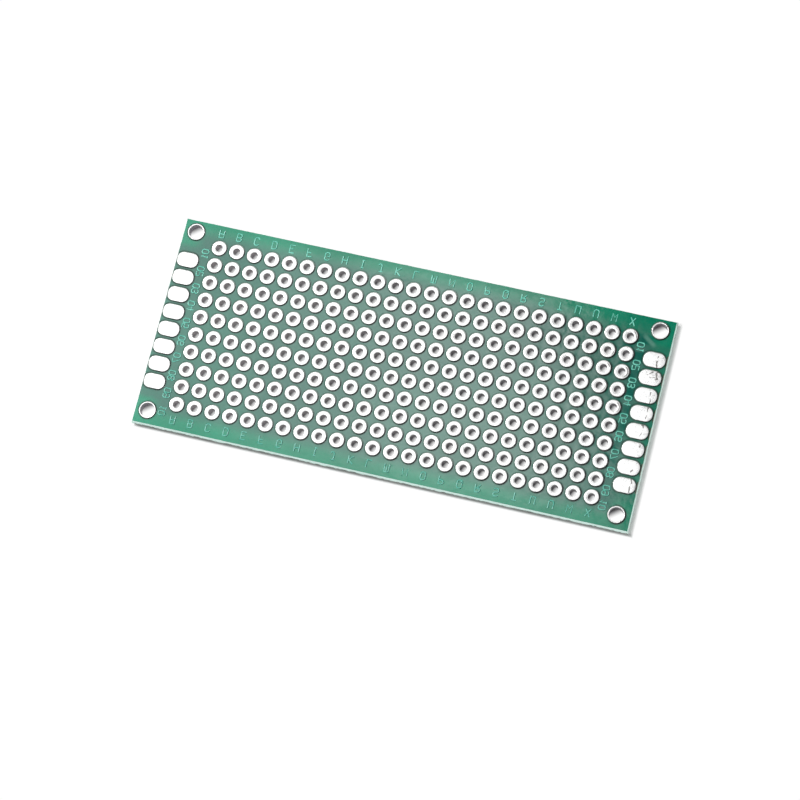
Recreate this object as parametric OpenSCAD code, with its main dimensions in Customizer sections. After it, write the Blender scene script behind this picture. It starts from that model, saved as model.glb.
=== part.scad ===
// Prototype board: a double-sided glass-epoxy board with a grid of plated
// component holes, oval edge pads at both ends and a plated screw hole in
// each corner. The board lies flat, long side along X, with the lettered
// columns counted from -X and the numbered rows counted from +Y.

/* [Hole grid] */
// Number of columns of component holes
columns = 24; // [4:1:40]
// Number of rows of component holes
rows = 10; // [4:1:30]
// Distance between neighbouring holes, both ways
pitch = 2.54; // [2.4:0.01:4]
// Diameter of a component hole, inside its plating
hole_d = 1.0; // [0.6:0.05:1.2]
// Space left between the lands of neighbouring holes
land_space = 0.5; // [0.4:0.02:0.9]

/* [Board] */
// Strip for the row numbers, between the end lands and the edge pads
number_strip = 1.4; // [1:0.05:4]
// Strip for the column letters, between the outer lands and the score line
letter_strip = 2.35; // [2.2:0.05:6]
// Thickness of the bare glass-epoxy core
core_t = 1.44; // [1.3:0.02:3]
// Shift of the whole pattern along X against the cut outline
cut_shift_x = -0.13; // [-0.16:0.01:0.16]
// Shift of the whole pattern along Y against the cut outline
cut_shift_y = 0.16; // [-0.2:0.01:0.2]
// Thickness of the broken web that the two V-shaped scores leave round the edge
web_t = 0.48; // [0.2:0.02:0.9]
// How far each scored bevel leans in from the broken web of the edge
score_in = 0.2; // [0.05:0.01:0.3]

/* [Copper and mask] */
// Thickness of a tinned copper land above the core
land_t = 0.08; // [0.06:0.01:0.15]
// Bevel round the rim of a land
land_bevel = 0.03; // [0.01:0.005:0.05]
// Thickness of the plating on the wall of a hole
plating_t = 0.04; // [0.02:0.005:0.08]
// Thickness of the solder mask on each face
mask_t = 0.05; // [0.02:0.005:0.06]
// Bare ring left between a land and the solder mask
mask_gap = 0.1; // [0.04:0.01:0.15]

/* [Screw holes] */
// Diameter of a corner screw hole, inside its plating
screw_hole_d = 2.0; // [1.5:0.05:2.4]
// Width of the land round a corner screw hole
screw_land_w = 0.16; // [0.1:0.01:0.3]
// From the short edge to the centre of a screw hole
screw_inset_x = 2.0; // [1.9:0.01:2.3]
// From the long edge to the centre of a screw hole
screw_inset_y = 1.95; // [1.9:0.01:2.3]

/* [Edge pads] */
// Length of an edge pad, across the short edge
edge_pad_l = 3.0; // [2.2:0.05:4]
// Straight stretch in the middle of an edge pad's rounded end
edge_pad_flat = 0.2; // [0.02:0.02:1.2]
// Mean distance from the scored bevel to the outer end of an edge pad
edge_pad_gap = 0.17; // [0.16:0.01:0.4]

/* [Hidden] */
$fn = 48;
pad_d = pitch - land_space;
edge_pad_w = pad_d;
edge_pad_r = (edge_pad_w - edge_pad_flat) / 2;
screw_land_d = screw_hole_d + 2 * screw_land_w;
score_t = (core_t - web_t) / 2;
end_margin = pad_d / 2 + number_strip + edge_pad_l + edge_pad_gap + score_in;
side_margin = pad_d / 2 + letter_strip + score_in;
board_l = (columns - 1) * pitch + 2 * end_margin;
board_w = (rows - 1) * pitch + 2 * side_margin;
core_z = land_t;
core_top_z = core_z + core_t;
total_t = core_t + 2 * land_t;
drill_overrun = 1;
screw_x = board_l / 2 - screw_inset_x;
screw_y = board_w / 2 - screw_inset_y;
face_l = board_l - 2 * score_in;
face_w = board_w - 2 * score_in;
edge_pad_x = face_l / 2 - edge_pad_gap - edge_pad_l / 2;
edge_pad_rows = [2 : rows - 1];

function row_label(r) = str(r < 10 ? "0" : "", r);
function row_y(r) = ((rows + 1) / 2 - r) * pitch;
function column_x(c) = (c - (columns + 1) / 2) * pitch;
function plating_name(r) = str("hole_plating_row_", row_label(r));
function edge_pad_name(end, face, r) = str("edge_pad_", end, "_", face, "_", row_label(r));
function side(end) = end == "left" ? -1 : 1;

SCREW_CORNERS = [
    ["screw_hole_plating_top_left", -1, 1],
    ["screw_hole_plating_top_right", 1, 1],
    ["screw_hole_plating_bottom_left", -1, -1],
    ["screw_hole_plating_bottom_right", 1, -1]
];

// Places its child at the centre of the pattern, which the cut left off centre
module at_pattern() {
    translate([cut_shift_x, cut_shift_y, 0]) children();
}

// Places its child at every component hole
module at_component_holes() {
    at_pattern() for (r = [1 : rows], c = [1 : columns])
        translate([column_x(c), row_y(r), 0]) children();
}

// Places its child at every corner screw hole
module at_screw_holes() {
    at_pattern() for (corner = SCREW_CORNERS)
        translate([corner[1] * screw_x, corner[2] * screw_y, 0]) children();
}

// Places its child at every edge pad of one face
module at_edge_pads() {
    at_pattern() for (end = [-1, 1], r = edge_pad_rows)
        translate([end * edge_pad_x, row_y(r), 0]) children();
}

// Outline of an edge pad, grown all round by a margin
module edge_pad_outline(grow = 0) {
    l = edge_pad_l + 2 * grow;
    w = edge_pad_w + 2 * grow;
    rad = edge_pad_r + grow;
    union() {
        square([l, w - 2 * rad], center = true);
        square([l - 2 * rad, w], center = true);
        for (x = [-1, 1], y = [-1, 1])
            translate([x * (l / 2 - rad), y * (w / 2 - rad)]) circle(r = rad);
    }
}

// A plated hole: barrel and two lands in one piece, bored through
module plated_hole(bore_d, land_d) {
    bore_r = bore_d / 2;
    land_r = land_d / 2;
    wall_r = bore_r + plating_t;
    rotate_extrude() polygon([
        [bore_r, 0],
        [land_r - land_bevel, 0],
        [land_r, land_bevel],
        [land_r, core_z],
        [wall_r, core_z],
        [wall_r, core_top_z],
        [land_r, core_top_z],
        [land_r, total_t - land_bevel],
        [land_r - land_bevel, total_t],
        [bore_r, total_t]
    ]);
}

// Section of the core across one direction: a broken web between two scored bevels
module core_section(width) {
    web = width / 2;
    face = web - score_in;
    polygon([
        [-face, core_z],
        [face, core_z],
        [web, core_z + score_t],
        [web, core_top_z - score_t],
        [face, core_top_z],
        [-face, core_top_z],
        [-web, core_top_z - score_t],
        [-web, core_z + score_t]
    ]);
}

module laminate() {
    drill_h = total_t + 2 * drill_overrun;
    color([0.86, 0.84, 0.70]) difference() {
        intersection() {
            rotate([90, 0, 0])
                linear_extrude(height = board_w, center = true) core_section(board_l);
            rotate([90, 0, 90])
                linear_extrude(height = board_l, center = true) core_section(board_w);
        }
        at_component_holes() translate([0, 0, -drill_overrun])
            cylinder(h = drill_h, r = hole_d / 2 + plating_t);
        at_screw_holes() translate([0, 0, -drill_overrun])
            cylinder(h = drill_h, r = screw_hole_d / 2 + plating_t);
    }
}

// One sheet of solder mask, open round every land
module mask_sheet() {
    linear_extrude(height = mask_t) difference() {
        square([face_l, face_w], center = true);
        at_component_holes() circle(d = pad_d + 2 * mask_gap);
        at_screw_holes() circle(d = screw_land_d + 2 * mask_gap);
        at_edge_pads() edge_pad_outline(mask_gap);
    }
}

module solder_mask_top() {
    color([0.10, 0.50, 0.38]) translate([0, 0, core_top_z]) mask_sheet();
}

module solder_mask_bottom() {
    color([0.10, 0.50, 0.38]) translate([0, 0, core_z - mask_t]) mask_sheet();
}

// The plated holes of one numbered row
module hole_plating_row(r) {
    color([0.90, 0.90, 0.88]) at_pattern() for (c = [1 : columns])
        translate([column_x(c), row_y(r), 0]) plated_hole(hole_d, pad_d);
}

// The plated hole in one corner of the board
module screw_hole_plating(corner) {
    color([0.90, 0.90, 0.88]) at_pattern()
        translate([corner[1] * screw_x, corner[2] * screw_y, 0])
            plated_hole(screw_hole_d, screw_land_d);
}

// One edge pad, lying on the core
module edge_pad(end, face, r) {
    z = face == "top" ? core_top_z : 0;
    color([0.90, 0.90, 0.88]) at_pattern()
        translate([side(end) * edge_pad_x, row_y(r), z])
            linear_extrude(height = land_t) edge_pad_outline();
}

laminate();
solder_mask_top();
solder_mask_bottom();
for (r = [1 : rows])
    hole_plating_row(r);
for (corner = SCREW_CORNERS)
    screw_hole_plating(corner);
for (end = ["left", "right"], face = ["top", "bottom"], r = edge_pad_rows)
    edge_pad(end, face, r);
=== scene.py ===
"""Looks of the prototype board: lacquer, tinned lands, snapped edges, index marks and studio."""
import functools
import math
import random

import bmesh
import bpy
from mathutils import Euler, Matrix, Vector

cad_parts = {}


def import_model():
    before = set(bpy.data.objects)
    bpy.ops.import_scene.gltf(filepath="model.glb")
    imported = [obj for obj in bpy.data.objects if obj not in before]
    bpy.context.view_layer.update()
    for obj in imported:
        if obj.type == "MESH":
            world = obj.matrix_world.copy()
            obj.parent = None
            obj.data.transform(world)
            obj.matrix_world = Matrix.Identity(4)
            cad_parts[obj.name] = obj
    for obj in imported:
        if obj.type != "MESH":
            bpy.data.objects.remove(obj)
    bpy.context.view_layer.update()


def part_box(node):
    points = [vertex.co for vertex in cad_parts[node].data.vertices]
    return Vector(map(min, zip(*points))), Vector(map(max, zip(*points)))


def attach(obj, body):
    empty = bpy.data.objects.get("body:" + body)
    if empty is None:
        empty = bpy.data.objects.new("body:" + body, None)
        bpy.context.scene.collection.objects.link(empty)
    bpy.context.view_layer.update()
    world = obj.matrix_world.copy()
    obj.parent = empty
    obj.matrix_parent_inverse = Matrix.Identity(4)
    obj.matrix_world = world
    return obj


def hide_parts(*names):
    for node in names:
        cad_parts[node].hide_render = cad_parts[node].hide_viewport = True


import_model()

MM = 0.001

# Direction across the board away from the main light
LEE = (0.89, -0.456)

# Camera of the photograph, in the board's own frame
CAMERA_PLACE = Vector((69.404, -92.569, 409.027)) * MM
CAMERA_TURN_DEG = (14.0785, 6.3013, 14.1873)
LENS_MM = 139.78
SENSOR_MM = 36.0

# Facets round a hole, the core's drilled holes, a screw hole and a pad's rounded corner
HOLE_SEGMENTS = 40
DRILL_SEGMENTS = 24
SCREW_SEGMENTS = 64
CORNER_SEGMENTS = 10

# Sizes of the part that no box in the frame gives
HOLE_R = 0.5 * MM
SCREW_R = 1.0 * MM
PLATING = 0.04 * MM
SCORE_T = 0.48 * MM
EDGE_PAD_FLAT = 0.2 * MM

# Bare ring between a land and the lacquer, as the photograph shows it, and the lacquer's round lip
MASK_GAP = 0.13 * MM
MASK_LIP = 0.03 * MM

# Step along the snapped web, the depth of its bites, and how far each bite leaves the one before
WEB_STEP = 0.3 * MM
WEB_BITE_MM = 0.1
WEB_CHANGE = 0.7

# Further out than these are the ends with the edge pads, and in them the screw holes
END_X = 31 * MM
CORNER_Y = 11.6 * MM

# Along the board, the light in the barrels changes from the left end to the first of these, and
# in the screw holes between the second on either side of the middle
BARREL_FADE_X = 15 * MM
SCREW_FADE_X = 10 * MM

# The range that a noise mostly keeps to
NOISE_LOW = 0.3
NOISE_HIGH = 0.7

# Seeds of the ragged web and, with the row's number added, of a row's uneven lands
WEB_SEED = 7
ROW_SEED = 100

# The table's half size, its own light to the camera, and the world's light on matt surfaces
TABLE_HALF = 3.0
TABLE_GLOW = 1.02
WORLD_LEVEL = 0.45

LETTERS = "ABCDEFGHIJKLMNOPQRSTUVWX"
ROWS = 10
HOLE_ROWS = range(1, ROWS + 1)
EDGE_ROWS = range(2, ROWS)
FACES = ("top", "bottom")
ENDS = ("left", "right")
SCREWS = ("top_left", "top_right", "bottom_left", "bottom_right")

# Strokes of the index marks, as points on a grid four units wide and six high
GLYPHS = {
    "A": ("00 06 46 40", "03 43"),
    "B": ("33 03 00 30 41 42 33 44 45 36 06 03",),
    "C": ("45 36 16 05 01 10 30 41",),
    "D": ("00 06 36 45 41 30 00",),
    "E": ("40 00 06 46", "03 33"),
    "F": ("00 06 46", "03 33"),
    "G": ("45 36 16 05 01 10 30 41 43 23",),
    "H": ("00 06", "40 46", "03 43"),
    "I": ("10 30", "20 26", "16 36"),
    "J": ("01 10 20 31 36", "16 46"),
    "K": ("00 06", "46 03 40"),
    "L": ("06 00 40",),
    "M": ("00 06 46 40", "26 22"),
    "N": ("00 06 40 46",),
    "O": ("01 05 16 36 45 41 30 10 01",),
    "P": ("00 06 36 45 44 33 03",),
    "Q": ("01 05 16 36 45 41 30 10 01", "22 40"),
    "R": ("00 06 36 45 44 33 03", "23 40"),
    "S": ("45 36 16 05 04 13 33 42 41 30 10 01",),
    "T": ("20 26", "06 46"),
    "U": ("06 00 40 46",),
    "V": ("06 01 10 30 41 46",),
    "W": ("06 00 23 40 46",),
    "X": ("00 46", "06 40"),
    "0": ("01 05 16 36 45 41 30 10 01",),
    "1": ("14 26 20", "10 30"),
    "2": ("06 46 43 03 00 40",),
    "3": ("05 16 36 45 44 33 42 41 30 10 01", "13 33"),
    "4": ("30 36 02 42",),
    "5": ("46 06 04 34 43 41 30 10 01",),
    "6": ("45 36 16 05 01 10 30 41 42 33 03",),
    "7": ("06 46 10",),
    "8": ("13 04 05 16 36 45 44 33 13 02 01 10 30 41 42 33",),
    "9": ("01 10 30 41 45 36 16 05 04 13 43",),
}
GLYPH_W = 4
GLYPH_H = 6
GLYPH_GAP = 0.7
GLYPH_NARROW = 0.92

# Size and stroke of the index marks, and their places from the middle of the grid
LETTER_SIZE = 1.08 * MM
LETTER_STROKE = 0.21 * MM
LETTER_SHIFTS = ((-0.13 * MM, 13.5 * MM), (0.03 * MM, -13.67 * MM))
NUMBER_SIZE = 0.94 * MM
NUMBER_STROKE = 0.20 * MM
NUMBER_COLUMNS = (-30.94 * MM, 30.92 * MM)
NUMBER_DROP = 1.25 * MM
LAST_NUMBER_LIFT = 0.5 * MM


# Measures taken from the frame

core_lo, core_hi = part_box("laminate")
_, mask_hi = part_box("solder_mask_top")
first_lo, first_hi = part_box("hole_plating_row_01")
last_lo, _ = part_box(f"hole_plating_row_{ROWS:02d}")
LAND_R = (first_hi.y - first_lo.y) / 2
FIRST_X = first_lo.x + LAND_R
FIRST_Y = first_hi.y - LAND_R
PITCH_X = (first_hi.x - LAND_R - FIRST_X) / (len(LETTERS) - 1)
PITCH_Y = (FIRST_Y - last_lo.y - LAND_R) / (ROWS - 1)
TOP_Z = first_hi.z
SCORE_IN = core_hi.x - mask_hi.x
CENTRE_X = (first_lo.x + first_hi.x) / 2
CENTRE_Y = (FIRST_Y + last_lo.y + LAND_R) / 2
HOLE_GRID = ((FIRST_X, PITCH_X, len(LETTERS)), (FIRST_Y, -PITCH_Y, ROWS))


def column_x(c):
    """X of column c, counted from 1."""
    return FIRST_X + (c - 1) * PITCH_X


def row_y(r):
    """Y of row r, counted from 1."""
    return FIRST_Y - (r - 1) * PITCH_Y


def row_centres(r):
    """Centres of the component holes of row r."""
    return [(column_x(c), row_y(r)) for c in range(1, len(LETTERS) + 1)]


def middle(node):
    """Centre and half sizes of a node across the board."""
    lo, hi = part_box(node)
    return (lo + hi) / 2, (hi - lo) / 2


def spread(low_node, high_node, rows):
    """A grid of two columns, from the middles of its first and last node."""
    low, _ = middle(low_node)
    high, _ = middle(high_node)
    return (low.x, high.x - low.x, 2), (low.y, (high.y - low.y) / (rows - 1), rows)


SCREW_GRID = spread("screw_hole_plating_bottom_left", "screw_hole_plating_top_right", 2)
PAD_GRID = spread("edge_pad_left_top_02", "edge_pad_right_top_09", len(EDGE_ROWS))
_, PAD_HALF = middle("edge_pad_left_top_02")
PAD_CORNER = PAD_HALF.y - EDGE_PAD_FLAT / 2


# Outlines

def circle(x, y, r, n=HOLE_SEGMENTS):
    """Points round a circle, anticlockwise."""
    return [Vector((x + r * math.cos(a), y + r * math.sin(a))) for a in turn(n)]


def turn(n):
    """n angles round a full turn."""
    return [2 * math.pi * (k + 0.5) / n for k in range(n)]


def rounded_rect(x, y, half_l, half_w, r):
    """Points round a rectangle with round corners, anticlockwise."""
    points = []
    for quarter, (sx, sy) in enumerate(((1, 1), (-1, 1), (-1, -1), (1, -1))):
        cx, cy = x + sx * (half_l - r), y + sy * (half_w - r)
        for k in range(CORNER_SEGMENTS + 1):
            a = (quarter + k / CORNER_SEGMENTS) * math.pi / 2
            points.append(Vector((cx + r * math.cos(a), cy + r * math.sin(a))))
    return points


def edge_pad_outline(node, grow=0.0):
    """Outline of an edge pad, grown all round."""
    mid, half = middle(node)
    r = half.y - EDGE_PAD_FLAT / 2
    return rounded_rect(mid.x, mid.y, half.x + grow, half.y + grow, r + grow)


def moved_in(loop, amount):
    """An anticlockwise loop with each point moved to its left, into the loop, by amount."""
    out = []
    n = len(loop)
    for i, p in enumerate(loop):
        a, b = (p - loop[i - 1]).normalized(), (loop[(i + 1) % n] - p).normalized()
        t = (a + b).normalized()
        left = Vector((-t.y, t.x))
        stretch = 1 / max(0.5, math.sqrt((1 + a.dot(b)) / 2))
        out.append(p + left * amount * stretch)
    return out


def straight(a, b, step):
    """Points from a up to but not including b, at most step apart."""
    n = max(1, math.ceil((b - a).length / step))
    return [a.lerp(b, k / n) for k in range(n)]


def board_outline(x, y, step):
    """A rectangle with half sizes x and y round the origin of the cut outline, anticlockwise."""
    corners = [Vector((x, -y)), Vector((x, y)), Vector((-x, y)), Vector((-x, -y))]
    points = []
    for a, b in zip(corners, corners[1:] + corners[:1]):
        points += straight(a, b, step)
    return points


def notched_outline(half_x, half_y, openings):
    """The mask's outline, with a notch where an opening breaks through a short edge."""
    right, left = [], []
    for loop in openings:
        mid_x = sum(p.x for p in loop) / len(loop)
        side = 1 if mid_x > 0 else -1
        if max(side * p.x for p in loop) < half_x:
            continue
        (right if side > 0 else left).append(notch(loop, side * half_x, side))
    right.sort(key=lambda points: points[0].y)
    left.sort(key=lambda points: -points[0].y)
    points = [Vector((half_x, -half_y))]
    points += [p for group in right for p in group]
    points += [Vector((half_x, half_y)), Vector((-half_x, half_y))]
    points += [p for group in left for p in group]
    points.append(Vector((-half_x, -half_y)))
    return points


def notch(loop, edge_x, side):
    """The part of an opening inside the edge, as the outline meets it going anticlockwise."""
    n = len(loop)
    inside = [side * p.x < side * edge_x for p in loop]
    start = next(i for i in range(n) if inside[i] and not inside[i - 1])
    kept = [crossing(loop[start - 1], loop[start], edge_x)]
    i = start
    while inside[i % n]:
        kept.append(loop[i % n])
        i += 1
    kept.append(crossing(loop[(i - 1) % n], loop[i % n], edge_x))
    return kept[::-1]


def crossing(a, b, edge_x):
    """Where the line from a to b crosses the edge."""
    return a.lerp(b, (edge_x - a.x) / (b.x - a.x))


# Meshes

def new_piece(name, bm, material, nodes=()):
    """An object on the board's body, from a bmesh, standing for the nodes given."""
    bmesh.ops.recalc_face_normals(bm, faces=bm.faces)
    mesh = bpy.data.meshes.new(name)
    bm.to_mesh(mesh)
    bm.free()
    mesh.materials.append(material)
    piece = bpy.data.objects.new(name, mesh)
    bpy.context.scene.collection.objects.link(piece)
    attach(piece, "root")
    if nodes:
        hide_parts(*nodes)


def ring(bm, loop, z):
    """Vertices of a loop at a height."""
    return [bm.verts.new((p.x, p.y, z)) for p in loop]


def skin(bm, rings, closed=False):
    """Quads between neighbouring rings of equal length."""
    pairs = list(zip(rings, rings[1:]))
    if closed:
        pairs.append((rings[-1], rings[0]))
    faces = []
    for lower, upper in pairs:
        n = len(lower)
        for k in range(n):
            j = (k + 1) % n
            faces.append(bm.faces.new((lower[k], lower[j], upper[j], upper[k])))
    return faces


def cap(bm, loops):
    """Triangles over an outer ring of vertices with the inner rings left open."""
    edges = []
    for loop in loops:
        for k, v in enumerate(loop):
            w = loop[(k + 1) % len(loop)]
            edges.append(bm.edges.get((v, w)) or bm.edges.new((v, w)))
    bmesh.ops.triangle_fill(bm, use_beauty=True, use_dissolve=False, edges=edges)


def perforated_sheet(outer, holes):
    """A closed sheet. outer and each of holes are stacks of (loop, z), from one face to the other."""
    bm = bmesh.new()
    stacks = [[ring(bm, loop, z) for loop, z in stack] for stack in [outer, *holes]]
    for rings in stacks:
        for face in skin(bm, rings):
            face.smooth = True
    for end in (0, -1):
        cap(bm, [rings[end] for rings in stacks])
    return bm


def lathed(profile, centres, segments=HOLE_SEGMENTS, wobble=None):
    """Rings of revolution, one at each centre, from a closed profile of (radius, z, lift).

    wobble gives each ring a tilt and a shift, and lift is the share of them that a point takes."""
    bm = bmesh.new()
    for x, y in centres:
        shift = wobble() if wobble else (0.0, 0.0, 0.0)
        rings = [[] for _ in profile]
        for a in turn(segments):
            tilt = shift[0] * math.cos(a) + shift[1] * math.sin(a)
            for k, (r, z, lift) in enumerate(profile):
                h = z + lift * (tilt + shift[2])
                rings[k].append(bm.verts.new((x + r * math.cos(a), y + r * math.sin(a), h)))
        for face in skin(bm, rings, closed=True):
            face.smooth = True
    return bm


# Colours

def rgb(r, g, b):
    """A linear colour with full alpha."""
    return (r, g, b, 1.0)


WHITE = rgb(1, 1, 1)

# Lacquer over the bare core. A pair holds the two colours that a noise or a place mixes. The margin
# greens are brighter, painted light scattered through the core, and the grid greens greyer, a painted
# haze of light off the lands
MARGIN_GREENS = rgb(0.003, 0.25, 0.14), rgb(0.008, 0.30, 0.17)
GRID_GREENS = rgb(0.034, 0.165, 0.122), rgb(0.05, 0.205, 0.15)
RIGHT_GREEN = rgb(0.014, 0.168, 0.120)
STRIP_GREEN = rgb(0.004, 0.145, 0.105)
SCUFF_GREEN = rgb(0.16, 0.40, 0.31)
SPOT_GREEN = rgb(0.16, 0.30, 0.25)
# Bare core beside the right edge pads: dark olive in painted shade, then its pale edge
SHADED_BARE_STRIP = rgb(0.06, 0.08, 0.045), rgb(0.62, 0.68, 0.60)

# Lacquer over the copper of an index mark, toward the lower and the upper long edge
LOWER_MARKS = rgb(0.07, 0.42, 0.32), rgb(0.14, 0.52, 0.41)
UPPER_MARKS = rgb(0.10, 0.53, 0.40), rgb(0.18, 0.67, 0.52)
# Painted shade on a stroke's flank that faces away from the light
LEE_MARKS = rgb(0.004, 0.05, 0.036)

# Tin. A barrel's pair goes from the left end of the board to the right
PALE_TIN = rgb(0.93, 0.935, 0.935), rgb(0.98, 0.98, 0.975)
STAINED_TIN = rgb(0.12, 0.11, 0.10)
# Painted shade along the left end, over the left pads
SHADED_LEFT_TIN = rgb(0.27, 0.27, 0.26)
# Painted shade on a land's edge on its lee side
LEE_EDGE_SHADE_TIN = rgb(0.05, 0.06, 0.055)
# Painted light and shade on a land's outer wall: its lit side, then its lee side
RIM_TIN = rgb(0.9, 0.9, 0.9), rgb(0.03, 0.03, 0.03)
# Painted light and shade in the barrels and screw holes: lighter at the foot, darker at the mouth
BARREL_FOOT = rgb(0.62, 0.58, 0.60), rgb(0.275, 0.25, 0.27)
BARREL_MOUTH = rgb(0.225, 0.193, 0.205), rgb(0.035, 0.027, 0.035)
SCREW_FOOT = rgb(0.40, 0.385, 0.43), rgb(0.22, 0.21, 0.24)
SCREW_MOUTH = rgb(0.08, 0.075, 0.095)

# Core
PALE_EPOXY = rgb(0.68, 0.92, 0.84), rgb(0.79, 1.0, 0.94)
BROKEN_EPOXY = rgb(0.68, 0.78, 0.70), rgb(0.20, 0.22, 0.18)
# Painted shade on the lower part of the front web
SHADED_FRONT_EPOXY = rgb(0.16, 0.18, 0.17), rgb(0.05, 0.06, 0.055)
# Painted shade on the left bevel beside the edge pads
PAD_SHADE_EPOXY = rgb(0.32, 0.32, 0.30)
# Painted light and shade on the bare core round a land, lit side then lee side, and painted light above
# the lands
GROUND_EPOXY = rgb(0.13, 0.22, 0.18), rgb(0.003, 0.01, 0.008)
LIT_EPOXY = rgb(0.24, 0.32, 0.28)

# Table
TABLE = rgb(0.85, 0.85, 0.85)
TABLE_SEEN = rgb(1.05, 1.05, 1.05)
TABLE_IN_LEE = rgb(0.89, 0.88, 0.88)
TABLE_IN_SHADE = rgb(0.64, 0.66, 0.65)
# Painted shade on the table seen through a hole, where the light through it doesn't fall
UNDER_BARRELS = rgb(0.0, 0.0, 0.004)


# Node trees

class Nodes:
    """A short way to write a node tree."""

    def __init__(self, tree):
        self.tree = tree

    def add(self, kind, inputs=(), **settings):
        """A node. An input given as a socket is linked, and any other is set."""
        node = self.tree.nodes.new(kind)
        for key, value in settings.items():
            setattr(node, key, value)
        for key, value in dict(inputs).items():
            if isinstance(value, bpy.types.NodeSocket):
                self.tree.links.new(value, node.inputs[key])
            else:
                node.inputs[key].default_value = value
        return node

    def place(self):
        """The point in the board's own frame."""
        return self.add("ShaderNodeTexCoord").outputs["Object"]

    def axes(self, vector=None):
        """x, y and z of a vector, or of the point."""
        return self.add("ShaderNodeSeparateXYZ", {0: vector or self.place()}).outputs

    def geometry(self, name):
        """A value of the surface at the point, such as its normal."""
        return self.add("ShaderNodeNewGeometry").outputs[name]

    def noise(self, scale, detail=3.0, roughness=0.5, distortion=0.0, vector=None):
        """Noise with scale in features per millimetre."""
        return self.add(
            "ShaderNodeTexNoise",
            {"Vector": vector or self.place(), "Scale": scale / MM, "Detail": detail,
             "Roughness": roughness, "Distortion": distortion},
        ).outputs["Fac"]

    def math(self, operation, a, b=0.0, c=0.0):
        return self.add("ShaderNodeMath", {0: a, 1: b, 2: c}, operation=operation).outputs[0]

    def minus(self, a, b):
        return self.math("SUBTRACT", a, b)

    def rest(self, share):
        """What a share leaves of the whole."""
        return self.minus(1.0, share)

    def times(self, *values):
        """The product of the values."""
        return functools.reduce(lambda a, b: self.math("MULTIPLY", a, b), values)

    def least(self, *values):
        return functools.reduce(lambda a, b: self.math("MINIMUM", a, b), values)

    def most(self, *values):
        return functools.reduce(lambda a, b: self.math("MAXIMUM", a, b), values)

    def size(self, value):
        """A value without its sign."""
        return self.math("ABSOLUTE", value)

    def beyond(self, value, limit):
        """1 where a value is further than the limit from 0, either way, else 0."""
        return self.math("GREATER_THAN", self.size(value), limit)

    def span(self, value, low, high, to_low=0.0, to_high=1.0, smooth=True):
        """A value from low to high taken to another range, and held at its ends."""
        return self.add(
            "ShaderNodeMapRange",
            {"Value": value, "From Min": low, "From Max": high, "To Min": to_low, "To Max": to_high},
            interpolation_type="SMOOTHSTEP" if smooth else "LINEAR",
        ).outputs["Result"]

    def fall(self, value, low, high):
        """1 up to low, and 0 from high on."""
        return self.span(value, low, high, 1.0, 0.0)

    def wander(self, noise, to_low=0.0, to_high=1.0):
        """The part of a noise that it mostly keeps to, taken to another range."""
        return self.span(noise, NOISE_LOW, NOISE_HIGH, to_low, to_high)

    def mix(self, factor, a, b):
        """A mix of two colours."""
        return self.add("ShaderNodeMix", {0: factor, 6: a, 7: b}, data_type="RGBA").outputs[2]

    def blend(self, factor, a, b):
        """A mix of two numbers."""
        return self.add("ShaderNodeMix", {0: factor, 2: a, 3: b}).outputs[0]

    def bump(self, height, depth, normal=None):
        """A bump whose height of 1 is depth millimetres."""
        inputs = {"Height": height, "Distance": depth * MM}
        if normal:
            inputs["Normal"] = normal
        return self.add("ShaderNodeBump", inputs).outputs["Normal"]


class Surface(Nodes):
    """The node tree of a new material."""

    def __init__(self, name):
        self.material = bpy.data.materials.new(name)
        self.material.use_nodes = True
        super().__init__(self.material.node_tree)
        self.shader = self.tree.nodes["Principled BSDF"]

    def set(self, **values):
        """Plain values for the shader's inputs."""
        for key, value in values.items():
            self.shader.inputs[key.replace("_", " ")].default_value = value

    def link(self, socket, key):
        """A socket linked to one of the shader's inputs."""
        self.tree.links.new(socket, self.shader.inputs[key])


# Places on the board

def by_length(m, x, left, right):
    """A value that goes evenly from the board's left end to its right end."""
    return m.span(x, core_lo.x, core_hi.x, left, right, smooth=False)


def by_width(m, y, lower, upper):
    """A value that goes evenly from the board's lower edge to its upper edge."""
    return m.span(y, core_lo.y, core_hi.y, lower, upper, smooth=False)


def from_nearest(m, grid):
    """Where a point lies from the nearest axis of a grid of holes, along x and along y."""
    x, y, _ = m.axes()
    away = []
    for value, (first, pitch, count) in zip((x, y), grid):
        steps = m.math("ROUND", m.times(m.minus(value, first), 1 / pitch))
        nearest = m.most(m.least(steps, count - 1), 0.0)
        away.append(m.minus(value, m.math("MULTIPLY_ADD", nearest, pitch, first)))
    return away


def length(m, x, y):
    """Length of the line to the point x, y."""
    return m.math("SQRT", m.math("ADD", m.times(x, x), m.times(y, y)))


def reach(m, grid):
    """Distance to the nearest axis of a grid."""
    return length(m, *from_nearest(m, grid))


def along(m, x, y, direction):
    """How far the point x, y lies in a direction across the board."""
    return m.math("ADD", m.times(x, direction[0]), m.times(y, direction[1]))


def bearing(m, x, y, direction):
    """Cosine of the angle between the line to the point x, y and a direction."""
    return m.math("DIVIDE", along(m, x, y, direction), length(m, x, y))


def lee_side(m):
    """0 to 1 from the lit side to the lee side of the nearest land, screw hole or edge pad."""
    x, y, _ = m.axes()
    sides = []
    for grid, narrow in ((HOLE_GRID, 1.0), (PAD_GRID, PAD_HALF.y / PAD_HALF.x), (SCREW_GRID, 1.0)):
        off_x, off_y = from_nearest(m, grid)
        sides.append(bearing(m, m.times(off_x, narrow), off_y, LEE))
    at_end = m.blend(m.beyond(y, CORNER_Y), sides[1], sides[2])
    return m.span(m.blend(m.beyond(x, END_X), sides[0], at_end), -0.7, 0.9)


def beside_pads(m):
    """1 along the stretches of a short edge that lie beside an edge pad, else 0."""
    _, off_y = from_nearest(m, PAD_GRID)
    return m.fall(m.size(off_y), 0.75 * MM, 0.95 * MM)


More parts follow.
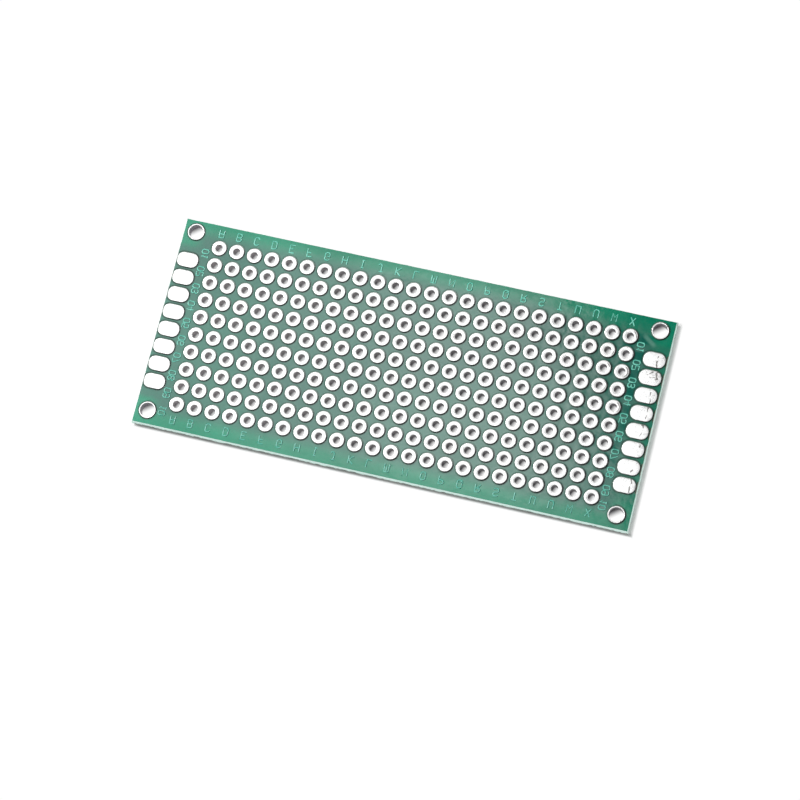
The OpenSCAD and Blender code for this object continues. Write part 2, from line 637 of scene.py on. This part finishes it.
def from_pad(m):
    """How far a point lies outside the rounded outline of the nearest edge pad."""
    off_x, off_y = from_nearest(m, PAD_GRID)
    past_x = m.most(m.minus(m.size(off_x), PAD_HALF.x - PAD_CORNER), 0.0)
    past_y = m.most(m.minus(m.size(off_y), PAD_HALF.y - PAD_CORNER), 0.0)
    return m.minus(length(m, past_x, past_y), PAD_CORNER)


def inside_grid(m):
    """1 between the holes, where the lacquer takes a painted haze of light off the lands, and 0 in the
    margins.
    """
    x, y, _ = m.axes()
    out_x = m.minus(m.size(m.minus(x, CENTRE_X)), CENTRE_X - first_lo.x)
    out_y = m.minus(m.size(m.minus(y, CENTRE_Y)), first_hi.y - CENTRE_Y)
    return m.times(m.fall(out_x, 0.8 * MM, 3.2 * MM), m.fall(out_y, -0.5 * MM, 1.6 * MM))


def swell(m, off, pitch):
    """A smooth rise toward a line of holes: 1 on the line and 0 midway to the next and beyond."""
    near = m.least(m.size(off), pitch / 2)
    wave = m.math("COSINE", m.times(near, 2 * math.pi / pitch))
    return m.math("MULTIPLY_ADD", wave, 0.5, 0.5)


# Lacquer

def lacquer_green(m, x, y):
    """The lacquer's green: brighter in the margins, painted light through the core, greyer between the
    lands and by the edge pads, a painted haze of light off the lands, and darker toward the right end
    and over the number strip.
    """
    cloud = m.span(m.noise(0.09, detail=2.0), 0.35, 0.65)
    margin = m.mix(cloud, *MARGIN_GREENS)
    between = m.mix(cloud, *GRID_GREENS)
    deeper = m.mix(m.span(x, 24 * MM, END_X), between, RIGHT_GREEN)
    number_strip = m.times(m.span(x, 29.6 * MM, 30.4 * MM), m.span(y, -5 * MM, 4 * MM))
    strip = m.mix(number_strip, deeper, STRIP_GREEN)
    last_letters = m.times(m.span(x, 12 * MM, 28 * MM), m.span(y, CORNER_Y, 12.8 * MM))
    inside = m.times(inside_grid(m), m.blend(last_letters, 1.0, 0.3))
    at_pads = m.times(m.span(m.size(x), 31.2 * MM, 32.0 * MM), m.fall(m.size(y), 10.6 * MM, CORNER_Y))
    # Painted haze of light off the lands, also by the edge pads
    haze_at_pads = m.times(at_pads, by_length(m, x, 0.9, 0.5))
    return m.mix(haze_at_pads, m.mix(inside, margin, strip), between)


def scuff(m, x, y):
    """A faint scuff in the lacquer between the last column and its screw hole."""
    off_x = m.minus(x, 31.75 * MM)
    off_y = m.minus(y, 11.53 * MM)
    far = m.size(along(m, off_x, off_y, (0.8, -0.6)))
    aside = m.size(along(m, off_x, off_y, (0.6, 0.8)))
    return m.times(m.span(far, 0.7 * MM, 1.4 * MM, 0.7, 0.0), m.fall(aside, 0.06 * MM, 0.48 * MM))


def pale_spots(m, x):
    """Pale spots in the hollows between the lands of the last columns."""
    off_x, off_y = from_nearest(m, HOLE_GRID)
    hollow = m.times(m.rest(swell(m, off_x, PITCH_X)), m.rest(swell(m, off_y, PITCH_Y)))
    patches = m.span(m.noise(0.5, detail=2.0), 0.35, 0.65, 0.3, 1.0)
    last_columns = m.times(m.span(x, 17 * MM, 25 * MM), inside_grid(m))
    return m.times(m.span(hollow, 0.3, 0.95, 0.0, 0.5), patches, last_columns)


def lacquer_colour(m, x, y):
    """The lacquer with slivers of bare core beside the right edge pads, in painted shade up to a pale
    edge, its scuff and its spots.
    """
    bare_strip = m.mix(m.span(x, core_hi.x - 0.28 * MM, core_hi.x - 0.20 * MM), *SHADED_BARE_STRIP)
    sliver = m.times(beside_pads(m), m.span(x, core_hi.x - 0.42 * MM, core_hi.x - 0.36 * MM))
    whole = m.mix(sliver, lacquer_green(m, x, y), bare_strip)
    scuffed = m.mix(scuff(m, x, y), whole, SCUFF_GREEN)
    return m.mix(pale_spots(m, x), scuffed, SPOT_GREEN)


def lacquer_shade(m, x, y, fine):
    """How light the lacquer is: painted falloff darker to the right and toward the upper edge, painted
    shade round every opening, deepest on the lee side, and its fine grain.
    """
    # Painted falloff of the light, darker to the right and toward the upper edge
    painted_falloff = m.times(by_length(m, x, 1.08, 0.76), by_width(m, y, 1.05, 0.97))
    # Painted shade round the lands, screw holes and edge pads, lighter on their lit side
    rim_shade = m.blend(lee_side(m), 0.9, by_length(m, x, 0.5, 0.08))
    round_land = m.span(reach(m, HOLE_GRID), LAND_R + MASK_GAP, LAND_R + 0.34 * MM, rim_shade, 1.0)
    round_screw = m.span(reach(m, SCREW_GRID), 1.28 * MM, 1.5 * MM, rim_shade, 1.0)
    round_pad = m.span(from_pad(m), MASK_GAP, 0.36 * MM, 0.45, 1.0)
    lip = m.least(round_land, round_screw, round_pad)
    return m.times(painted_falloff, lip, m.wander(fine, 0.9, 1.0))


def lacquer_material():
    """Glossy green solder mask that sags between the lands."""
    m = Surface("green_solder_mask")
    m.set(IOR=1.5)
    x, y, _ = m.axes()
    fine = m.noise(2.6, detail=4.0, roughness=0.6)
    colour, shade = lacquer_colour(m, x, y), lacquer_shade(m, x, y, fine)
    shaded = m.add("ShaderNodeVectorMath", {0: colour, "Scale": shade}, operation="SCALE")
    m.link(shaded.outputs[0], "Base Color")
    m.link(m.wander(m.noise(1.1), 0.08, 0.12), "Roughness")
    from_upper = m.minus(mask_hi.y, y)
    from_lower = m.math("ADD", mask_hi.y, y)
    gloss = m.least(m.span(from_upper, 0.1 * MM, 1.3 * MM, 0.35, 0.5),
                    m.span(from_lower, 0.1 * MM, 1.8 * MM, 0.42, 0.5))
    m.link(gloss, "Specular IOR Level")
    off_x, off_y = from_nearest(m, HOLE_GRID)
    sag = m.times(swell(m, off_x, PITCH_X), swell(m, off_y, PITCH_Y))
    waves = m.bump(m.noise(0.55, detail=2.0), 0.018)
    rims = m.bump(sag, 0.022, normal=waves)
    m.link(m.bump(fine, 0.0008, normal=rims), "Normal")
    return m.material


def mark_material():
    """The lacquer over a copper index stroke, lighter and warmer than over the core, with painted shade
    on the flank that faces away from the light.
    """
    m = Surface("lacquer_over_copper")
    m.set(IOR=1.5)
    wear_and_shade = m.noise(1.6)
    # Direction away from the light; a flank facing it gets painted shade
    away = (0.9, -0.44, 0.0)
    facing = m.add("ShaderNodeVectorMath", {0: m.geometry("Normal"), 1: away}, operation="DOT_PRODUCT")
    _, y, _ = m.axes()
    lower, upper = m.mix(m.wander(wear_and_shade), *LOWER_MARKS), m.mix(m.wander(wear_and_shade), *UPPER_MARKS)
    lit = m.mix(m.span(y, core_lo.y, core_hi.y), lower, upper)
    m.link(m.mix(m.span(facing.outputs["Value"], 0.03, 0.24), lit, LEE_MARKS), "Base Color")
    m.link(m.wander(wear_and_shade, 0.16, 0.3), "Roughness")
    m.link(m.bump(m.noise(3.0), 0.002), "Normal")
    return m.material


# Tin

def tin_walls(m, x, y, z):
    """The tin's upright faces: painted shade in the barrels, lighter toward their foot and at the left
    end, painted light and shade on a rim's lit and lee side, and painted shade on the left pads.
    """
    # Painted light and shade in the barrels, lighter at the left and toward the foot
    to_right = m.span(x, core_lo.x, BARREL_FADE_X)
    foot, mouth = m.mix(to_right, *BARREL_FOOT), m.mix(to_right, *BARREL_MOUTH)
    screw_foot = m.mix(m.span(x, -SCREW_FADE_X, SCREW_FADE_X), *SCREW_FOOT)
    height = m.span(z, 0.0, TOP_Z)
    screw = m.mix(height, screw_foot, SCREW_MOUTH)
    barrel = m.mix(m.beyond(x, END_X), m.mix(height, foot, mouth), screw)
    land = m.span(reach(m, HOLE_GRID), 0.85 * MM, 0.9 * MM)
    screw_land = m.span(reach(m, SCREW_GRID), 1.06 * MM, 1.1 * MM)
    # Painted light and shade on the lands' outer walls, by their lit and lee side
    wall = m.mix(m.least(land, screw_land), barrel, m.mix(lee_side(m), *RIM_TIN))
    # Painted shade on the walls of the left pads
    left_pads = m.times(m.math("LESS_THAN", x, -END_X), m.rest(m.beyond(y, CORNER_Y)))
    return m.mix(left_pads, wall, SHADED_LEFT_TIN)


def tin_tops(m, x, y, ripple):
    """The tin's level faces: pale with dark marks, painted shade at the left end, and painted shade
    where a land's edge turns down on its lee side.
    """
    pale = m.mix(m.wander(ripple), *PALE_TIN)
    stained = m.mix(m.times(tin_stains(m, x, y), 0.88), pale, STAINED_TIN)
    # Painted shade along the left end of the tin
    outer_end = m.fall(x, core_lo.x + 0.34 * MM, core_lo.x + 0.44 * MM)
    wear_and_shade = m.mix(outer_end, stained, SHADED_LEFT_TIN)
    # Painted shade on the lee side of each land's edge
    edge = m.span(reach(m, HOLE_GRID), LAND_R - 0.07 * MM, LAND_R - 0.02 * MM)
    lee = m.times(m.span(lee_side(m), 0.4, 0.9), m.span(x, core_lo.x, 5 * MM, 0.1, 0.85))
    lee_edge_shade = m.times(edge, lee, m.rest(m.beyond(x, END_X)))
    return m.mix(lee_edge_shade, wear_and_shade, LEE_EDGE_SHADE_TIN)


def tin_stains(m, x, y):
    """Dark marks in the tin: many by the corner of the handled end, few elsewhere."""
    mid, _ = middle("edge_pad_right_top_03")
    off_x = m.minus(x, mid.x + 0.65 * MM)
    off_y = m.minus(y, mid.y + 0.6 * MM)
    away = length(m, off_x, off_y)
    pits = m.noise(3.0, detail=4.0, roughness=0.6, distortion=0.4)
    more = m.span(away, 0.4 * MM, 2.7 * MM, 0.14, 0.0)
    specks = m.span(m.math("ADD", pits, more), 0.705, 0.725)
    return m.most(specks, pad_crease(m, off_x), land_arcs(m, away))


def pad_crease(m, off_x):
    """A broken, wandering line down the right edge pads."""
    wander = m.wander(m.noise(0.8), -0.25 * MM, 0.25 * MM)
    crease = m.fall(m.size(m.math("ADD", off_x, wander)), 0.06 * MM, 0.12 * MM)
    return m.times(crease, m.span(m.noise(1.5, detail=1.0), 0.49, 0.53))


def land_arcs(m, away):
    """Thin arcs in the right halves of some lands near the handled corner."""
    hole_x, hole_y = from_nearest(m, HOLE_GRID)
    off_arc = m.size(m.minus(length(m, hole_x, hole_y), 0.8 * MM))
    arc = m.times(m.fall(off_arc, 0.05 * MM, 0.12 * MM), m.span(hole_x, 0.25 * MM, 0.5 * MM))
    some = m.span(m.noise(0.6, detail=1.0), 0.44, 0.5)
    return m.times(arc, m.fall(away, 5.5 * MM, 11.0 * MM), some)


def tin_material():
    """Hot-dipped tin: bright, a little rough, with faint ripples and dark specks."""
    m = Surface("hot_dipped_tin")
    m.set(Metallic=0.35, IOR=1.6)
    x, y, z = m.axes()
    ripple = m.noise(1.4, detail=4.0, roughness=0.55)
    level = m.span(m.size(m.axes(m.geometry("True Normal"))[2]), 0.2, 0.6)
    m.link(m.mix(level, tin_walls(m, x, y, z), tin_tops(m, x, y, ripple)), "Base Color")
    m.link(m.wander(ripple, 0.22, 0.42), "Roughness")
    low = m.bump(m.noise(0.9, detail=2.0), 0.012)
    m.link(m.bump(ripple, 0.003, normal=low), "Normal")
    return m.material


# Core

def snapped_edge(m, stretched, fibre, normal):
    """The board's narrow sides: pale bevels, and between them the broken web with dark dashes, with
    painted shade on the lower front web and on the left bevel beside the pads.
    """
    x, _, z = m.axes()
    dashes = m.span(m.noise(0.9, detail=4.0, roughness=0.7, vector=stretched), 0.45, 0.6)
    front = m.fall(normal[1], -0.9, -0.7)
    web = m.fall(m.size(m.minus(z, (core_lo.z + core_hi.z) / 2)), 0.26 * MM, 0.3 * MM)
    front_pale = m.times(front, m.span(z, 0.7 * MM, 0.8 * MM))
    pale = m.mix(m.wander(fibre), *PALE_EPOXY)
    sides = m.mix(m.times(web, m.rest(front_pale)), pale, m.mix(dashes, *BROKEN_EPOXY))
    # Painted shade on the top of the left bevel beside the pads
    left = m.fall(x, core_lo.x + 0.22 * MM, core_lo.x + 0.3 * MM)
    bevel_top = m.span(z, core_hi.z - 0.30 * MM, core_hi.z - 0.18 * MM)
    rim = m.mix(m.times(beside_pads(m), left, bevel_top), sides, PAD_SHADE_EPOXY)
    # Painted shade on the front web's lower part
    front_shade = m.times(front, m.fall(z, 0.64 * MM, 0.74 * MM))
    return m.mix(front_shade, rim, m.mix(dashes, *SHADED_FRONT_EPOXY))


def bare_core(m):
    """The core in the gap round a land: dark on the lee side, and lit above the lands on the left."""
    x, _, _ = m.axes()
    shaded = m.mix(lee_side(m), *GROUND_EPOXY)
    above = m.span(bearing(m, *from_nearest(m, HOLE_GRID), (-0.1, 1.0)), -0.2, 0.8)
    columns = m.times(m.rest(m.beyond(x, END_X)), m.fall(x, 5 * MM, 24 * MM))
    return m.mix(m.times(above, columns), shaded, LIT_EPOXY)


def core_material():
    """Glass epoxy: pale and fibrous where it was scored and snapped, olive under the lacquer."""
    m = Surface("glass_epoxy")
    m.set(IOR=1.5)
    stretched = m.add("ShaderNodeMapping", {0: m.place(), 3: (1.0, 1.0, 5.0)}).outputs[0]
    fibre = m.noise(1.8, detail=5.0, roughness=0.65, vector=stretched)
    normal = m.axes(m.geometry("True Normal"))
    face = m.span(m.size(normal[2]), 0.9, 0.98)
    m.link(m.mix(face, snapped_edge(m, stretched, fibre, normal), bare_core(m)), "Base Color")
    m.link(m.span(face, 0.0, 1.0, 0.5, 0.1), "Specular IOR Level")
    m.link(m.wander(fibre, 0.45, 0.8), "Roughness")
    m.link(m.bump(fibre, 0.02), "Normal")
    return m.material


# Pieces

def ragged_lines(count):
    """The depth of the bites at count points round the snapped web, along three lines."""
    rng = random.Random(WEB_SEED)
    lines = []
    for _ in range(3):
        bite = 0.0
        line = []
        for _ in range(count):
            bite += (rng.uniform(0.0, WEB_BITE_MM) * MM - bite) * WEB_CHANGE
            line.append(bite)
        lines.append(line)
    return lines


def web_loop(face, bites):
    """The outline of the core's face carried out to the web, less the ragged bites."""
    half_x, half_y = core_hi.x, core_hi.y
    loop = []
    for p, bite in zip(face, bites):
        grow_x = (half_x - bite) / (half_x - SCORE_IN)
        grow_y = (half_y - bite) / (half_y - SCORE_IN)
        loop.append(Vector((p.x * grow_x, p.y * grow_y)))
    return loop


def drilled_holes():
    """Stacks of the holes that the core's drilling left for the plating."""
    drills = [(x, y, HOLE_R + PLATING) for r in HOLE_ROWS for x, y in row_centres(r)]
    for corner in SCREWS:
        mid, _ = middle(f"screw_hole_plating_{corner}")
        drills.append((mid.x, mid.y, SCREW_R + PLATING))
    holes = []
    for x, y, r in drills:
        loop = circle(x, y, r, DRILL_SEGMENTS)
        holes.append([(loop, core_hi.z), (loop, core_lo.z)])
    return holes


def core_piece(material):
    """The laminate: drilled, scored on both faces and snapped, so its web is ragged."""
    face = board_outline(core_hi.x - SCORE_IN, core_hi.y - SCORE_IN, WEB_STEP)
    upper_bites, middle_bites, lower_bites = ragged_lines(len(face))
    upper, lower = core_hi.z - SCORE_T, core_lo.z + SCORE_T
    outer = [
        (face, core_hi.z),
        (web_loop(face, upper_bites), upper),
        (web_loop(face, [2.0 * bite for bite in middle_bites]), (upper + lower) / 2),
        (web_loop(face, lower_bites), lower),
        (face, core_lo.z),
    ]
    bm = perforated_sheet(outer, drilled_holes())
    new_piece("glass_epoxy_core", bm, material, ["laminate"])


def mask_piece(face, material):
    """One sheet of lacquer with a rounded lip round every opening."""
    lo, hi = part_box(f"solder_mask_{face}")
    outside, inside = (hi.z, lo.z) if face == "top" else (lo.z, hi.z)
    away = 1 if face == "top" else -1
    openings = [circle(x, y, LAND_R + MASK_GAP) for r in HOLE_ROWS for x, y in row_centres(r)]
    for corner in SCREWS:
        mid, half = middle(f"screw_hole_plating_{corner}")
        openings.append(circle(mid.x, mid.y, half.x + MASK_GAP))
    pads = [edge_pad_outline(f"edge_pad_{end}_{face}_{r:02d}", MASK_GAP)
            for end in ENDS for r in EDGE_ROWS]
    openings += [loop for loop in pads if max(abs(p.x) for p in loop) < hi.x]
    outline = notched_outline(hi.x, hi.y, pads)

    def stack(loop, inward):
        """A lip that rounds off from the outer surface down to the wall."""
        steps = [(1.0, 0.0), (0.5, 0.13), (0.13, 0.5), (0.0, 1.0)]
        rings = [(moved_in(loop, inward * MASK_LIP * a), outside - away * MASK_LIP * b)
                 for a, b in steps]
        return rings + [(loop, inside)]

    bm = perforated_sheet(stack(outline, 1), [stack(loop, -1) for loop in openings])
    name = f"solder_mask_sheet_{face}"
    new_piece(name, bm, material, [f"solder_mask_{face}"])


def eyelet_profile(bore_r, land_r):
    """Closed section of a plated hole: domed lands with a soft rim and a rounded mouth."""
    top, core_top = TOP_Z, core_hi.z
    crown = land_r - 0.34 * (land_r - bore_r)
    rim = 0.016 * MM
    mouth = min(0.07 * MM, 0.3 * (land_r - bore_r))
    half = [
        (land_r, core_top, 0.0),
        (land_r, top - 2 * rim, 0.0),
        (land_r - 0.3 * rim, top - 1.3 * rim, 0.3),
        (land_r - 1.2 * rim, top - 0.75 * rim, 0.6),
        ((land_r + crown) / 2, top - 0.35 * rim, 1.0),
        (crown, top - 0.15 * rim, 1.0),
        (bore_r + mouth, top - 0.3 * rim, 1.0),
        (bore_r + 0.45 * mouth, top - 0.3 * mouth, 0.6),
        (bore_r + 0.1 * mouth, top - 0.75 * mouth, 0.2),
        (bore_r, top - 1.4 * mouth, 0.0),
    ]
    wall = [(bore_r + 0.15 * PLATING, top / 2, 0.0)]
    lower = [(r, top - z, -lift) for r, z, lift in reversed(half)]
    behind = [(bore_r + PLATING, core_lo.z, 0.0), (bore_r + PLATING, core_top, 0.0)]
    return half + wall + lower + behind


def plated_row(r, material):
    """The 24 plated holes of a row, each land a little uneven."""
    rng = random.Random(ROW_SEED + r)
    slope = 0.004 * MM

    def wobble():
        return rng.uniform(-slope, slope), rng.uniform(-slope, slope), -slope

    bm = lathed(eyelet_profile(HOLE_R, LAND_R), row_centres(r), wobble=wobble)
    node = f"hole_plating_row_{r:02d}"
    new_piece(f"tinned_holes_row_{r:02d}", bm, material, [node])


def plated_screw_hole(corner, material):
    """One corner screw hole with its narrow tinned land."""
    node = f"screw_hole_plating_{corner}"
    mid, half = middle(node)
    bm = lathed(eyelet_profile(SCREW_R, half.x), [(mid.x, mid.y)], segments=SCREW_SEGMENTS)
    new_piece(f"tinned_screw_hole_{corner}", bm, material, [node])


def edge_pad_piece(end, face, r, material):
    """One oval edge pad, crowned by the tin that drew together on it."""
    node = f"edge_pad_{end}_{face}_{r:02d}"
    lo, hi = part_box(node)
    base, crown = (lo.z, hi.z) if face == "top" else (hi.z, lo.z)
    rise = crown - base
    outline = edge_pad_outline(node)
    inset_max = 0.8 * (hi.y - lo.y) / 2
    steps = [(0.0, 0.0), (0.0, 0.52), (0.02, 0.72), (0.07, 0.83), (0.2, 0.92), (0.5, 0.98), (1.0, 1.0)]
    bm = bmesh.new()
    rings = [ring(bm, moved_in(outline, inset_max * a), base + rise * b) for a, b in steps]
    for quad in skin(bm, rings):
        quad.smooth = True
    bm.faces.new(rings[0])
    top = bm.faces.new(rings[-1])
    top.smooth = True
    name = f"tinned_edge_pad_{end}_{face}_{r:02d}"
    new_piece(name, bm, material, [node])


def mark_points(text, at, right, up, size):
    """Polylines of a centred line of text. right and up are its directions on the board."""
    unit = size / GLYPH_H
    narrow = unit * GLYPH_NARROW
    advance = (GLYPH_W + GLYPH_GAP) * unit
    lines = []
    for k, letter in enumerate(text):
        shift = (k - (len(text) - 1) / 2) * advance
        for stroke in GLYPHS[letter]:
            points = []
            for token in stroke.split():
                u = shift + (int(token[0]) - GLYPH_W / 2) * narrow
                v = (int(token[1]) - GLYPH_H / 2) * unit
                points.append(at + right * u + up * v)
            lines.append(points)
    return lines


def marks_piece(name, lines, width, face, material):
    """Index strokes as low rounded ridges on one face."""
    lo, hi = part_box(f"solder_mask_{face}")
    z = hi.z if face == "top" else lo.z
    height = 0.024 * MM
    touching = 1e-9
    curve = bpy.data.curves.new(name, "CURVE")
    curve.dimensions = "3D"
    curve.bevel_depth = width / 2
    curve.bevel_resolution = 2
    curve.use_fill_caps = True
    for points in lines:
        closed = (points[0] - points[-1]).length < touching
        kept = points[:-1] if closed else points
        spline = curve.splines.new("POLY")
        spline.points.add(len(kept) - 1)
        for target, p in zip(spline.points, kept):
            target.co = (p.x, p.y, 0.0, 1.0)
        spline.use_cyclic_u = closed
    holder = bpy.data.objects.new(name + "_path", curve)
    bpy.context.scene.collection.objects.link(holder)
    evaluated = holder.evaluated_get(bpy.context.evaluated_depsgraph_get())
    mesh = bpy.data.meshes.new_from_object(evaluated)
    bm = bmesh.new()
    bm.from_mesh(mesh)
    bpy.data.objects.remove(holder)
    bpy.data.curves.remove(curve)
    bpy.data.meshes.remove(mesh)
    for v in bm.verts:
        v.co.z = z + v.co.z * height / (width / 2)
    for quad in bm.faces:
        quad.smooth = True
    new_piece(name, bm, material)


def index_marks(face, material):
    """Column letters along the long edges and row numbers at the ends, mirrored seen from above."""
    flip = Vector((0, -1))
    letters = []
    for k, letter in enumerate(LETTERS):
        for x, y in LETTER_SHIFTS:
            at = Vector((column_x(k + 1) + x, CENTRE_Y + y))
            letters += mark_points(letter, at, Vector((1, 0)), flip, LETTER_SIZE)
    numbers = []
    for r in HOLE_ROWS:
        for x in NUMBER_COLUMNS:
            lift = LAST_NUMBER_LIFT if r == ROWS and x > 0 else 0.0
            at = Vector((CENTRE_X + x, row_y(r) - NUMBER_DROP + lift))
            numbers += mark_points(f"{r:02d}", at, flip, Vector((-1, 0)), NUMBER_SIZE)
    marks_piece(f"index_letters_{face}", letters, LETTER_STROKE, face, material)
    marks_piece(f"index_numbers_{face}", numbers, NUMBER_STROKE, face, material)


# Studio

def through_holes(m, x):
    """The light on the table under the holes: it falls in aslant and fades toward their lit side."""
    hole_x, hole_y = from_nearest(m, HOLE_GRID)
    hole_shift = m.span(x, core_lo.x, BARREL_FADE_X, 0.07 * MM, 0.0)
    aslant = m.math("ADD", along(m, hole_x, hole_y, (0.8, -0.35)), hole_shift)
    small = m.span(aslant, -0.42 * MM, 0.10 * MM, 0.04, 0.88, smooth=False)
    screw_x, screw_y = from_nearest(m, SCREW_GRID)
    screw_shift = m.span(x, -SCREW_FADE_X, SCREW_FADE_X, 0.0, -0.14 * MM)
    steep = m.math("ADD", along(m, screw_x, screw_y, (0.6, -0.8)), screw_shift)
    large = m.span(steep, -1.25 * MM, -0.1 * MM, 0.04, 1.0)
    return m.mix(m.blend(m.beyond(x, END_X), small, large), UNDER_BARRELS, WHITE)


def table_colour(m, x, y, direct):
    """White, with a shade along the board's lower edge and a fainter one at its right end."""
    below = m.fall(y, -core_hi.y + 0.1 * MM, -core_hi.y + 0.4 * MM)
    shade = m.times(below, m.span(x, -core_hi.x, -core_hi.x + 1.2 * MM))
    lee_end = m.span(x, core_hi.x - 1.0 * MM, core_hi.x - 0.6 * MM)
    seen = m.mix(shade, m.mix(lee_end, TABLE_SEEN, TABLE_IN_LEE), TABLE_IN_SHADE)
    return m.mix(direct, TABLE, seen)


def table_material():
    """A table that the camera sees as white, with the board's soft shadow close round the board."""
    m = Surface("white_table")
    seen = m.add("ShaderNodeLightPath").outputs
    direct = m.most(seen["Is Camera Ray"], seen["Is Glossy Ray"], seen["Is Transmission Ray"])
    x, y, _ = m.axes()
    matt = m.add("ShaderNodeBsdfDiffuse", {"Color": table_colour(m, x, y, direct)})
    out_x = m.minus(m.size(x), core_hi.x)
    out_y = m.minus(m.size(y), core_hi.y)
    far = m.most(m.span(out_x, 0.2 * MM, 0.7 * MM), m.span(out_y, 0.0, 0.34 * MM))
    under = m.fall(m.most(out_x, out_y), -0.9 * MM, -0.5 * MM)
    lit = m.mix(under, WHITE, through_holes(m, x))
    glow = m.add("ShaderNodeEmission", {"Color": lit, "Strength": TABLE_GLOW})
    share = m.times(direct, m.most(far, under))
    both = m.add("ShaderNodeMixShader", {0: share, 1: matt.outputs[0], 2: glow.outputs[0]})
    m.tree.links.new(both.outputs[0], m.tree.nodes["Material Output"].inputs["Surface"])
    m.tree.nodes.remove(m.shader)
    return m.material


def floor():
    """The white table."""
    bm = bmesh.new()
    bmesh.ops.create_grid(bm, x_segments=1, y_segments=1, size=TABLE_HALF)
    mesh = bpy.data.meshes.new("white_table")
    bm.to_mesh(mesh)
    bm.free()
    mesh.materials.append(table_material())
    table = bpy.data.objects.new("white_table", mesh)
    bpy.context.scene.collection.objects.link(table)


def world():
    """White round the horizon and to the camera, with a dark ceiling for reflections."""
    studio = bpy.data.worlds.new("studio")
    bpy.context.scene.world = studio
    studio.use_nodes = True
    m = Nodes(studio.node_tree)
    m.tree.nodes.clear()
    _, _, up = m.axes(m.add("ShaderNodeTexCoord").outputs["Generated"])
    ceiling = m.fall(up, 0.6, 0.92)
    seen = m.add("ShaderNodeLightPath").outputs
    mirrored = m.blend(seen["Is Glossy Ray"], WORLD_LEVEL, ceiling)
    strength = m.blend(seen["Is Camera Ray"], mirrored, 1.0)
    back = m.add("ShaderNodeBackground", {"Color": WHITE, "Strength": strength})
    m.add("ShaderNodeOutputWorld", {"Surface": back.outputs[0]})


def soft_box(name, place, size, power, turn_deg=None, mirrored=True):
    """A rectangular soft light, unseen by the camera: turned flat overhead, or aimed at the board.

    One that isn't mirrored lights the board without a glint in it."""
    data = bpy.data.lights.new(name, "AREA")
    data.shape = "RECTANGLE"
    data.size, data.size_y = size
    data.energy = power
    lamp = bpy.data.objects.new(name, data)
    lamp.location = place
    if turn_deg is None:
        lamp.rotation_euler = (-Vector(place)).to_track_quat("-Z", "Y").to_euler()
    else:
        lamp.rotation_euler = (0.0, 0.0, math.radians(turn_deg))
    lamp.visible_camera = False
    lamp.visible_glossy = mirrored
    bpy.context.scene.collection.objects.link(lamp)


def lights():
    """The main light, two smaller ones that the lacquer mirrors too, a side light and a fill light."""
    soft_box("main_soft_box", (-0.104, 0.050, 0.42), (0.2, 0.26), 0.40, turn_deg=30)
    soft_box("wide_soft_box", (-0.066, 0.090, 0.40), (0.084, 0.060), 0.0158, turn_deg=6)
    soft_box("narrow_soft_box", (-0.047, 0.085, 0.38), (0.054, 0.056), 0.0098, turn_deg=6)
    soft_box("side_soft_box", (-0.29, 0.09, 0.40), (0.14, 0.14), 1.0)
    soft_box("fill_soft_box", (0.24, -0.26, 0.14), (0.12, 0.12), 0.23, mirrored=False)


def camera():
    """The photograph's camera."""
    data = bpy.data.cameras.new("camera")
    data.lens = LENS_MM
    data.sensor_width = SENSOR_MM
    data.sensor_fit = "HORIZONTAL"
    data.clip_start = 0.01
    data.clip_end = 50.0
    eye = bpy.data.objects.new("camera", data)
    eye.location = CAMERA_PLACE
    eye.rotation_euler = Euler([math.radians(a) for a in CAMERA_TURN_DEG], "XYZ")
    bpy.context.scene.collection.objects.link(eye)
    bpy.context.scene.camera = eye


def dress_board():
    """Every visible piece of the board."""
    lacquer, tin, core, mark = lacquer_material(), tin_material(), core_material(), mark_material()
    core_piece(core)
    for face in FACES:
        mask_piece(face, lacquer)
        index_marks(face, mark)
        for end in ENDS:
            for r in EDGE_ROWS:
                edge_pad_piece(end, face, r, tin)
    for r in HOLE_ROWS:
        plated_row(r, tin)
    for corner in SCREWS:
        plated_screw_hole(corner, tin)


camera()
dress_board()
floor()
world()
lights()
bpy.context.scene.view_settings.view_transform = "Standard"
